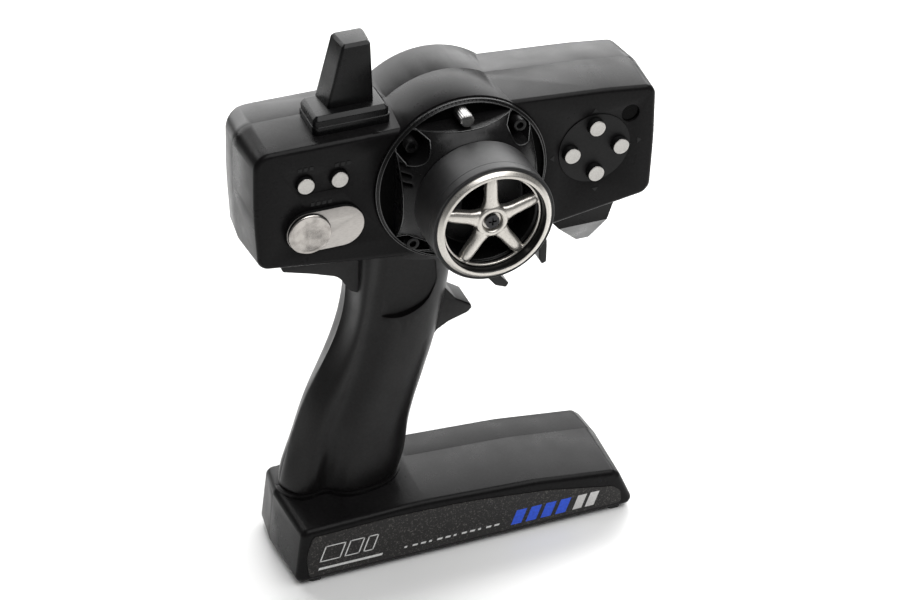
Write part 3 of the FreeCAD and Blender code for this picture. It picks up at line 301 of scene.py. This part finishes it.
for node, piece in NODES.items():
    dress(piece, BY_SLOT[SLOT_OF[node]])


# ---- mesh helpers --------------------------------------------------------------------------------

MERGE = 2e-6  # metres
FLAT_ANGLE = 0.6
EDGE_ANGLE = 30.0


def stand_for(piece, node):
    """Gives a new piece the body of the CAD node it replaces and, if it has no material yet, the material of
    that node's slot; hides the node.
    """
    scene.collection.objects.link(piece)
    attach(piece, BODY_OF[node])
    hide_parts(node)
    if not piece.data.materials:
        piece.data.materials.append(BY_SLOT[SLOT_OF[node]])
    return piece


def add_piece(name, mesh, material, body):
    """A new piece beside the CAD nodes."""
    mesh.materials.append(material)
    piece = bpy.data.objects.new(name, mesh)
    scene.collection.objects.link(piece)
    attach(piece, body)


def smooth(mesh, angle=32.0):
    mesh.shade_smooth()
    mesh.set_sharp_from_angle(angle=math.radians(angle))


def from_bmesh(name, bm):
    mesh = bpy.data.meshes.new(name)
    bmesh.ops.recalc_face_normals(bm, faces=bm.faces)
    bm.to_mesh(mesh)
    bm.free()
    return mesh


def refined(node, width, segments=2):
    """The CAD node's own shape with its facets merged and its edges broken by a small rounded bevel."""
    mesh = NODES[node].data.copy()
    mesh.name = f"{node}_skin"
    bm = bmesh.new()
    bm.from_mesh(mesh)
    bmesh.ops.remove_doubles(bm, verts=bm.verts, dist=MERGE)
    bmesh.ops.dissolve_limit(bm, angle_limit=math.radians(FLAT_ANGLE), verts=bm.verts, edges=bm.edges)
    limit = math.radians(EDGE_ANGLE)
    edges = [edge for edge in bm.edges if len(edge.link_faces) == 2 and edge.calc_face_angle() > limit]
    bmesh.ops.bevel(bm, geom=edges, offset=width * MM, segments=segments, profile=0.5,
                    affect="EDGES", clamp_overlap=True)
    bm.to_mesh(mesh)
    bm.free()
    mesh.materials.clear()
    smooth(mesh)
    return stand_for(bpy.data.objects.new(f"{node}_skin", mesh), node)


def add_lathe(bm, profile, segments, x=0.0, z=AXIS):
    """Adds a closed profile of (radius, y) points turned about the axis through (x, z)."""
    turns = [2 * math.pi * i / segments for i in range(segments)]
    rings = []
    for radius, y in profile:
        if radius < 1e-6:
            rings.append([bm.verts.new(at(x, y, z))])
        else:
            rings.append([
                bm.verts.new(at(x + radius * math.cos(turn), y, z + radius * math.sin(turn)))
                for turn in turns
            ])
    for first, second in zip(rings, rings[1:] + rings[:1]):
        for i in range(segments):
            j = (i + 1) % segments
            corners = [
                first[i % len(first)], first[j % len(first)],
                second[j % len(second)], second[i % len(second)],
            ]
            unique = list(dict.fromkeys(corners))
            if len(unique) > 2:
                bm.faces.new(unique)


def lathe(name, profile, segments=TURNED, sharp=30.0, x=0.0, z=AXIS):
    """A turned piece, smooth but for edges sharper than the given angle."""
    bm = bmesh.new()
    add_lathe(bm, profile, segments, x, z)
    mesh = from_bmesh(name, bm)
    smooth(mesh, sharp)
    return bpy.data.objects.new(name, mesh)


def rounded_profile(corners, steps=5):
    """A closed profile whose (a, b, radius) corners are rounded by arcs of the given number of steps."""
    points = []
    count = len(corners)
    for i in range(count):
        a, b, radius = corners[i]
        corner = Vector((a, b))
        if radius <= 0:
            points.append((a, b))
            continue
        before = (Vector(corners[i - 1][:2]) - corner).normalized()
        after = (Vector(corners[(i + 1) % count][:2]) - corner).normalized()
        half = before.angle(after) / 2
        centre = corner + (before + after).normalized() * (radius / math.sin(half))
        start = corner + before * (radius / math.tan(half)) - centre
        end = corner + after * (radius / math.tan(half)) - centre
        sweep = start.angle_signed(end)
        for k in range(steps + 1):
            turn = -sweep * k / steps
            c, s = math.cos(turn), math.sin(turn)
            points.append((centre.x + start.x * c - start.y * s, centre.y + start.x * s + start.y * c))
    return points


# ---- shells, antenna and steering plate ----------------------------------------------------------

HEAD_EDGE = 0.35
BASE_EDGE = 0.3
MAST_EDGE = 0.5
PLATE_EDGE = 0.3

refined("head_front_shell", HEAD_EDGE)
dress(refined("head_rear_shell", HEAD_EDGE), SHELL_REAR)
for node in ("base_front_shell", "base_rear_shell"):
    refined(node, BASE_EDGE)
for node in ("antenna_base", "antenna_blade"):
    refined(node, MAST_EDGE, segments=3)

# (nearest, farthest) y of the floors of the wells and recesses, and of the vents; these floors get painted
# shade
POCKET_FLOOR = (-23.2, -19.0)
VENT_FLOOR = (-25.3, -24.7)


# picks the pocket and vent floors that get painted shade
def is_pocket_floor(polygon):
    depth = (polygon.center.y - ORIGIN.y) / MM
    inside = any(low < depth < high for low, high in (POCKET_FLOOR, VENT_FLOOR))
    return polygon.normal.y < -0.8 and inside


# the pocket and vent floors of the steering plate get painted shade
paint(refined("steering_plate", PLATE_EDGE), POCKET_SHADE, is_pocket_floor)

# (distance from the wheel's axis, y) down the plate's flared front
PLATE_PROFILE = ((23.6, -35.4), (24.6, -34.4), (27.4, -32.0), (31.2, -27.0), (34.0, -23.5), (35.0, -22.9))
LIP_RADIUS = 0.28
LIP_SIDES = 8
RIM_RADIUS = 34.75
POCKET_RIM = 33.7
RECESS_CHORD = 27.0
RECESS_STEPS = 40
WELL_INNER = 25.4
WELL_SHOULDER = 29.0
WELL_SWING = 12.7  # degrees each side at the shoulder
WELL_RIM_SWING = 9.7  # degrees each side at the rim
WELL_STEPS = 16


def plate_face(radius):
    """The y of the plate's flared front at a distance from the wheel's axis."""
    for (r0, y0), (r1, y1) in zip(PLATE_PROFILE, PLATE_PROFILE[1:]):
        if radius <= r1:
            return y0 + (y1 - y0) * max(0.0, radius - r0) / (r1 - r0)
    return PLATE_PROFILE[-1][1]


def add_bead(bm, track):
    """A closed round bead on the plate's front along (radius, degrees) stations about the wheel's axis."""
    path = []
    for radius, angle in track:
        x, z = about_axis(radius, angle)
        path.append(at(x, plate_face(radius), z))
    count = len(path)
    turns = [2 * math.pi * k / LIP_SIDES for k in range(LIP_SIDES)]
    sections = []
    for i in range(count):
        along = (path[(i + 1) % count] - path[i - 1]).normalized()
        across = along.cross(Vector((0.0, 1.0, 0.0))).normalized() * LIP_RADIUS * MM
        outward = across.cross(along)
        sections.append([
            bm.verts.new(path[i] + across * math.cos(turn) + outward * math.sin(turn)) for turn in turns
        ])
    for this, other in zip([sections[-1]] + sections, sections):
        for k in range(LIP_SIDES):
            j = (k + 1) % LIP_SIDES
            bm.faces.new((this[k], this[j], other[j], other[k]))


def between(start, end, steps):
    """Evenly spaced stations from start towards end, without the end itself."""
    return [
        (start[0] + (end[0] - start[0]) * i / steps, start[1] + (end[1] - start[1]) * i / steps)
        for i in range(steps)
    ]


def recess_track(middle):
    """Round a segment recess: along its chord and back along the rim."""
    half = math.degrees(math.acos(RECESS_CHORD / POCKET_RIM))
    swings = [half * (2 * i / RECESS_STEPS - 1.0) for i in range(RECESS_STEPS + 1)]
    chord = [(RECESS_CHORD / math.cos(math.radians(swing)), middle + swing) for swing in swings]
    rim = [(POCKET_RIM, middle + swing) for swing in swings[-2:0:-1]]
    return chord + rim


def well_track(middle):
    """Round a drop-shaped screw well, from its curved inner end out to the rim."""
    swings = [WELL_SWING * (2 * i / WELL_STEPS - 1.0) for i in range(WELL_STEPS)]
    depth = WELL_SHOULDER - WELL_INNER
    inner = [(WELL_INNER + depth * (swing / WELL_SWING) ** 2, middle + swing) for swing in swings]
    shoulders = (WELL_SHOULDER, middle + WELL_SWING), (WELL_SHOULDER, middle - WELL_SWING)
    ends = (POCKET_RIM, middle + WELL_RIM_SWING), (POCKET_RIM, middle - WELL_RIM_SWING)
    up = between(shoulders[0], ends[0], 6)
    rim = between(ends[0], ends[1], 10)
    down = between(ends[1], shoulders[1], 6)
    return inner + up + rim + down


def plate_lips():
    """Slim round beads along the plate's rim and round its pockets."""
    bm = bmesh.new()
    for quarter in range(4):
        add_bead(bm, recess_track(90.0 * quarter))
    for quarter in range(4):
        add_bead(bm, well_track(45.0 + 90.0 * quarter))
    add_bead(bm, [(RIM_RADIUS, 360.0 * i / TURNED) for i in range(TURNED)])
    mesh = from_bmesh("plate_lips", bm)
    smooth(mesh, 60.0)
    add_piece("plate_lips", mesh, LIP, BODY_OF["steering_plate"])


plate_lips()

# ---- trigger, finger rest, battery cover and grip ------------------------------------------------

TRIGGER_EDGE = 0.9
REST_EDGE = 0.8
COVER_EDGE = 0.2
GRIP_EDGE = 0.3

refined("trigger", TRIGGER_EDGE, segments=3)
refined("finger_rest", REST_EDGE, segments=3)
refined("battery_cover", COVER_EDGE)
for node in ("grip_right_shell", "grip_left_shell"):
    refined(node, GRIP_EDGE)

# ---- steering wheel ------------------------------------------------------------------------------

SPOKES = 5
SPOKE_STATIONS = (
    # distance from the wheel's axis, half width, crest and edge of the half-round bar
    (4.7, 4.0, -55.35, -53.2), (6.0, 3.6, -55.35, -53.3), (7.4, 3.0, -55.4, -53.4),
    (9.5, 2.65, -55.45, -53.4), (13.0, 2.6, -55.5, -53.4), (16.5, 2.5, -55.45, -53.4),
    (18.4, 2.2, -55.25, -53.4), (19.4, 1.6, -54.8, -53.4), (19.7, 0.8, -54.3, -53.4),
)
BAR_STEPS = 10
BAR_BACK = -52.0
BAR_FULLNESS = 0.8  # below 1 the bar's section is fuller than an ellipse
HUB_PROFILE = (
    (0.0, -53.7), (3.9, -53.7), (4.1, -55.2), (4.6, -55.6), (5.7, -55.6), (6.4, -55.1), (6.6, BAR_BACK),
    (0.0, BAR_BACK),
)
BAND_PROFILE = ((18.8, -53.6), (18.8, -54.8), (19.1, -55.0), (19.75, -55.0), (19.75, -53.6))
STAR_VOXEL = 0.2
STAR_ROUNDS = 8


def add_spoke(bm, turn):
    """One tapered half-round bar from the hub to the ring."""
    along = Vector((math.cos(turn), 0.0, math.sin(turn)))
    across = Vector((-math.sin(turn), 0.0, math.cos(turn)))
    rows = []
    for reach, half, crest, edge in SPOKE_STATIONS:
        row = []
        for step in range(BAR_STEPS + 1):
            swing = math.pi * step / BAR_STEPS
            y = edge + (crest - edge) * math.sin(swing) ** BAR_FULLNESS
            spot = along * reach + across * (half * math.cos(swing))
            row.append(bm.verts.new(at(spot.x, y, AXIS + spot.z)))
        for side in (-half, half):
            spot = along * reach + across * side
            row.append(bm.verts.new(at(spot.x, BAR_BACK, AXIS + spot.z)))
        rows.append(row)
    for first, second in zip(rows, rows[1:]):
        for i in range(len(first)):
            j = (i + 1) % len(first)
            bm.faces.new((first[i], first[j], second[j], second[i]))
    bm.faces.new(rows[0])
    bm.faces.new(rows[-1][::-1])


def melted(name, mesh, voxel, rounds):
    """The union of overlapping closed bodies in a mesh, with soft fillets where they meet."""
    source = bpy.data.objects.new(name, mesh)
    scene.collection.objects.link(source)
    remesh = source.modifiers.new("union", "REMESH")
    remesh.mode = "VOXEL"
    remesh.voxel_size = voxel * MM
    soften = source.modifiers.new("soften", "SMOOTH")
    soften.factor = 0.5
    soften.iterations = rounds
    graph = bpy.context.evaluated_depsgraph_get()
    result = bpy.data.meshes.new_from_object(source.evaluated_get(graph))
    result.name = name
    bpy.data.objects.remove(source)
    result.shade_smooth()
    return result


def wheel_star():
    """The silver star: spokes, hub and the band that joins their ends, melted together."""
    bm = bmesh.new()
    for index in range(SPOKES):
        add_spoke(bm, math.radians(90.0 + index * 360.0 / SPOKES))
    add_lathe(bm, HUB_PROFILE, 64)
    add_lathe(bm, BAND_PROFILE, TURNED)
    mesh = melted("wheel_star_skin", from_bmesh("star_parts", bm), STAR_VOXEL, STAR_ROUNDS)
    stand_for(bpy.data.objects.new("wheel_star_skin", mesh), "wheel_star")


def is_inner_wall(polygon):
    """True for a face that looks at the wheel's axis."""
    from_axis = polygon.center - at(0.0, 0.0, AXIS)
    from_axis.y = 0.0
    return polygon.normal.dot(from_axis.normalized()) < -0.75


RING_PROFILE = (
    (19.9, -54.05, 0.0), (20.1, -57.9, 0.5), (20.5, -58.65, 0.35), (21.6, -58.5, 0.7), (22.95, -57.3, 0.6),
    (22.95, -56.3, 0.1), (20.95, -56.3, 0.0), (20.95, -54.05, 0.0),
)
TYRE_PROFILE = (
    # a fine moulding line runs round the tread near its front, and a groove round the front face
    (22.25, -36.4, 0.3), (24.45, -36.4, 0.8), (24.45, -52.6, 0.0), (24.3, -52.75, 0.0), (24.45, -52.9, 0.0),
    (24.45, -56.5, 0.7), (23.95, -57.0, 0.3), (23.75, -56.6, 0.2), (23.45, -56.6, 0.2), (23.3, -57.0, 0.2),
    (23.0, -57.0, 0.0), (23.0, -56.25, 0.0), (22.25, -56.25, 0.0),
)
CORE_PROFILE = (
    (3.0, -37.2, 0.0), (22.2, -37.2, 0.3), (22.2, -56.2, 0.0), (21.0, -56.2, 0.0), (21.0, -54.0, 0.0),
    (19.8, -54.0, 0.2), (19.8, -51.4, 0.4), (18.9, -50.9, 0.6), (18.5, -40.0, 1.0), (6.2, -40.0, 1.0),
    (6.2, -50.5, 0.3), (3.0, -50.5, 0.0),
)

wheel_star()
ring = stand_for(lathe("wheel_ring_skin", rounded_profile(RING_PROFILE)), "wheel_trim_ring")
# the ring's inner wall gets the black trigger plastic: painted shade for the dark band inside the ring
paint(ring, TRIGGER, is_inner_wall)
stand_for(lathe("wheel_tyre_skin", rounded_profile(TYRE_PROFILE)), "wheel_tyre")
stand_for(lathe("wheel_core_skin", rounded_profile(CORE_PROFILE)), "wheel_core")

# ---- keys, power slider and rate knob ------------------------------------------------------------

KEY_NODES = (
    "function_button", "channel_button", "trim_button_up", "trim_button_down", "trim_button_left",
    "trim_button_right",
)
SLIDE_EDGE = 0.35
FLANGE = 0.9
FLANGE_BACK = 2.0
FLANGE_THICK = 0.8
KEY_STEM = 1.5


def middle_of(node):
    """The (x, z) of a node's middle, its half width, and its front and back y."""
    low, high = local_box(node)
    return (low.x + high.x) / 2, (low.z + high.z) / 2, (high.x - low.x) / 2, low.y, high.y


def key_cap(node):
    """A round key with a very slightly sunk silver face, black sides, a flange and a stem."""
    x, z, half, front, back = middle_of(node)
    radius = half - FLANGE
    profile = (
        (0.0, front + 0.12, 0.0), (radius - 0.9, front + 0.06, 0.0), (radius - 0.1, front, 0.3),
        (radius, front + 0.5, 0.2), (radius, back - FLANGE_BACK, 0.1), (half, back - FLANGE_BACK, 0.1),
        (half, back - FLANGE_BACK + FLANGE_THICK, 0.1), (KEY_STEM, back - 0.8, 0.0), (KEY_STEM, back, 0.0),
        (0.0, back, 0.0),
    )
    cap = lathe(f"{node}_cap", rounded_profile(profile, steps=3), segments=64, x=x, z=z)
    dress(cap, KEY_SIDE)
    paint(cap, KEY, on_wheel_side)
    stand_for(cap, node)


def power_knob():
    """The dished round pad on the power slider, turned in fine rings."""
    x, z, radius, front, back = middle_of("power_slider")
    swirl = swirled_silver("knob_swirl", (0.52, 0.49, 0.46), 0.2, at(x, 0.0, z))
    dish_depth = 0.85
    dish_edge = 0.9
    dish = [
        (radius * share, front + 0.1 + dish_depth * (1 - (share / dish_edge) ** 2))
        for share in (0.0, 0.2, 0.4, 0.6, 0.75)
    ]
    pad_back = front + 1.4
    stem = 2.0
    profile = (
        *dish, (radius * 0.86, front + 0.12), (radius * 0.91, front), (radius * 0.955, front + 0.12),
        (radius * 0.985, front + 0.4), (radius, front + 0.9), (radius, pad_back), (stem, pad_back),
        (stem, back), (0.0, back),
    )
    knob = lathe("power_knob", profile, segments=96, sharp=40.0, x=x, z=z)
    dress(knob, KEY_SIDE)
    paint(knob, swirl, on_wheel_side)
    stand_for(knob, "power_slider")


FLUTES = 20
FLUTE_DEPTH = 0.12  # share of the knob's radius
FACETS_PER_FLUTE = 4


def rate_dial():
    """The small fluted knob in the plate's top recess, on its shaft."""
    x, z, radius, front, back = middle_of("rate_knob")
    shaft = 1.5
    corners = [(vertex.co - ORIGIN) / MM for vertex in NODES["rate_knob"].data.vertices]
    head_back = max(corner.y for corner in corners if math.hypot(corner.x - x, corner.z - z) > radius - 0.5)
    profile = (
        (0.0, front), (radius - 0.45, front), (radius - 0.35, front + 0.1), (radius, front + 0.45),
        (radius, head_back - 0.2), (radius - 0.2, head_back), (shaft, head_back), (shaft, back), (0.0, back),
    )
    dial = lathe("rate_dial", profile, segments=FACETS_PER_FLUTE * FLUTES, sharp=28.0, x=x, z=z)
    for vertex in dial.data.vertices:
        offset = vertex.co - at(x, 0.0, z)
        if math.hypot(offset.x, offset.z) > (radius - 0.05) * MM:
            wave = math.cos(FLUTES * math.atan2(offset.z, offset.x))
            vertex.co.x -= offset.x * max(0.0, FLUTE_DEPTH * wave)
            vertex.co.z -= offset.z * max(0.0, FLUTE_DEPTH * wave)
    stand_for(dial, "rate_knob")


for node in KEY_NODES:
    key_cap(node)
power_plate = refined("power_plate", SLIDE_EDGE)
dress(power_plate, KEY_SIDE)
paint(power_plate, SLIDER, on_wheel_side)
power_knob()
rate_dial()

# ---- printed label and moulded marks -------------------------------------------------------------

LEAN = 0.38
OUTLINE = 0.45
OUTLINE_SIDE = OUTLINE * 1.2


def flat_shapes(name, outlines, front, back, material, slot):
    """Thin plates cut to (x, z) outlines, between two y levels."""
    bm = bmesh.new()
    for outline in outlines:
        fore = [bm.verts.new(at(x, front, z)) for x, z in outline]
        rear = [bm.verts.new(at(x, back, z)) for x, z in outline]
        bm.faces.new(fore)
        bm.faces.new(rear[::-1])
        for i in range(len(outline)):
            j = (i + 1) % len(outline)
            bm.faces.new((fore[i], fore[j], rear[j], rear[i]))
    add_piece(name, from_bmesh(name, bm), material, "chassis")


def slanted(x, z, width, height, lean=LEAN):
    """A parallelogram standing on (x, z)."""
    shift = lean * height
    return [(x, z), (x + width, z), (x + width + shift, z + height), (x + shift, z + height)]


def frame_of(x, z, width, height):
    """The four strips of an outlined parallelogram."""
    return [
        slanted(x, z, width, OUTLINE),
        slanted(x + LEAN * (height - OUTLINE), z + height - OUTLINE, width, OUTLINE),
        slanted(x, z, OUTLINE_SIDE, height),
        slanted(x + width - OUTLINE_SIDE, z, OUTLINE_SIDE, height),
    ]


def slanted_row(x, z, count, pitch, width, height):
    """Parallelograms side by side."""
    return [slanted(x + pitch * index, z, width, height) for index in range(count)]


def arrow(x, z, dx, dz, size=1.7):
    """A small triangle that points along (dx, dz)."""
    half = size * 0.8
    return [(x + dx * size, z + dz * size), (x - dz * half, z + dx * half), (x + dz * half, z - dx * half)]


def dash_row(x, z, count, width=1.5, gap=0.8, height=1.5):
    """Small raised dashes beside a key."""
    return [slanted(x + (width + gap) * index, z, width, height, lean=0.2) for index in range(count)]


label_face = local_box("base_label")[0].y
ink = (label_face - 0.04, label_face + 0.02)
emblem = frame_of(-64.0, 9.4, 9.0, 7.6) + frame_of(-53.4, 9.4, 6.5, 7.6) + frame_of(-45.4, 9.4, 4.5, 7.6)
underline = [slanted(-64.6, 5.4, 27.5, 1.1)]
dashes = [slanted(-27.5 + 3.6 * index, 6.2, 2.2 if index % 3 else 1.2, 0.9) for index in range(12)]
flat_shapes("label_white", emblem + underline + dashes, *ink, INK_WHITE, "label_film")
flat_shapes("label_blue", slanted_row(19.6, 4.7, 4, 6.6, 4.6, 7.0), *ink, INK_BLUE, "label_film")
flat_shapes("label_silver", slanted_row(47.2, 4.9, 2, 5.6, 4.0, 6.8), *ink, INK_SILVER, "label_film")

head_face = local_box("head_front_shell")[0].y
marks = dash_row(-65.2, 191.6, 3) + dash_row(-50.6, 191.0, 3) + dash_row(-60.6, 175.7, 4)
marks += [
    arrow(55.4, 191.9, 0, 1), arrow(73.6, 175.5, 1, 0), arrow(38.6, 174.8, -1, 0), arrow(56.2, 157.6, 0, -1),
]
flat_shapes("moulded_marks", marks, head_face - 0.16, head_face + 0.05, KEY_SIDE, "shell_plastic")

# ---- camera, light and floor ---------------------------------------------------------------------

CAMERA_PLACE = (-350.0, -925.0, 789.6)
CAMERA_DOWN = 34.742
CAMERA_TURN = 20.944
LENS = 120.0
SENSOR = 36.0
AMBIENT = 0.1
FLOOR_HALF = 3.0

camera_data = bpy.data.cameras.new("camera")
camera_data.lens = LENS
camera_data.sensor_width = SENSOR
camera = bpy.data.objects.new("camera", camera_data)
camera.location = at(*CAMERA_PLACE)
camera.rotation_euler = (math.radians(90.0 - CAMERA_DOWN), 0.0, math.radians(-CAMERA_TURN))
scene.collection.objects.link(camera)
scene.camera = camera

world = bpy.data.worlds.new("studio")
world.use_nodes = True
world.node_tree.nodes["Background"].inputs["Color"].default_value = (1.0, 1.0, 1.0, 1.0)
world.node_tree.nodes["Background"].inputs["Strength"].default_value = AMBIENT
scene.world = world
scene.view_settings.view_transform = "Standard"


def soft_light(name, place, target, size, watts):
    """A rectangular area light; place and target in millimetres, size in metres."""
    data = bpy.data.lights.new(name, "AREA")
    data.shape = "RECTANGLE"
    data.size, data.size_y = size
    data.energy = watts
    light = bpy.data.objects.new(name, data)
    light.location = at(*place)
    light.rotation_euler = (at(*target) - light.location).to_track_quat("-Z", "Y").to_euler()
    scene.collection.objects.link(light)


soft_light("rear_softbox", (250, 1050, 760), (0, 0, 170), (2.6, 1.0), 37.0)
soft_light("overhead", (420, -520, 1350), (150, -320, 0), (1.9, 1.2), 22.5)

floor_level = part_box("base_feet")[0].z
floor_mesh = bpy.data.meshes.new("floor")
floor_corners = [
    (sx * FLOOR_HALF, sy * FLOOR_HALF, floor_level) for sx, sy in ((-1, -1), (1, -1), (1, 1), (-1, 1))
]
floor_mesh.from_pydata(floor_corners, [], [(0, 1, 2, 3)])
floor = bpy.data.objects.new("floor", floor_mesh)
scene.collection.objects.link(floor)
floor.data.materials.append(new_material("floor_white", (0.9, 0.9, 0.895), 0.3, specular=0.35)[0])
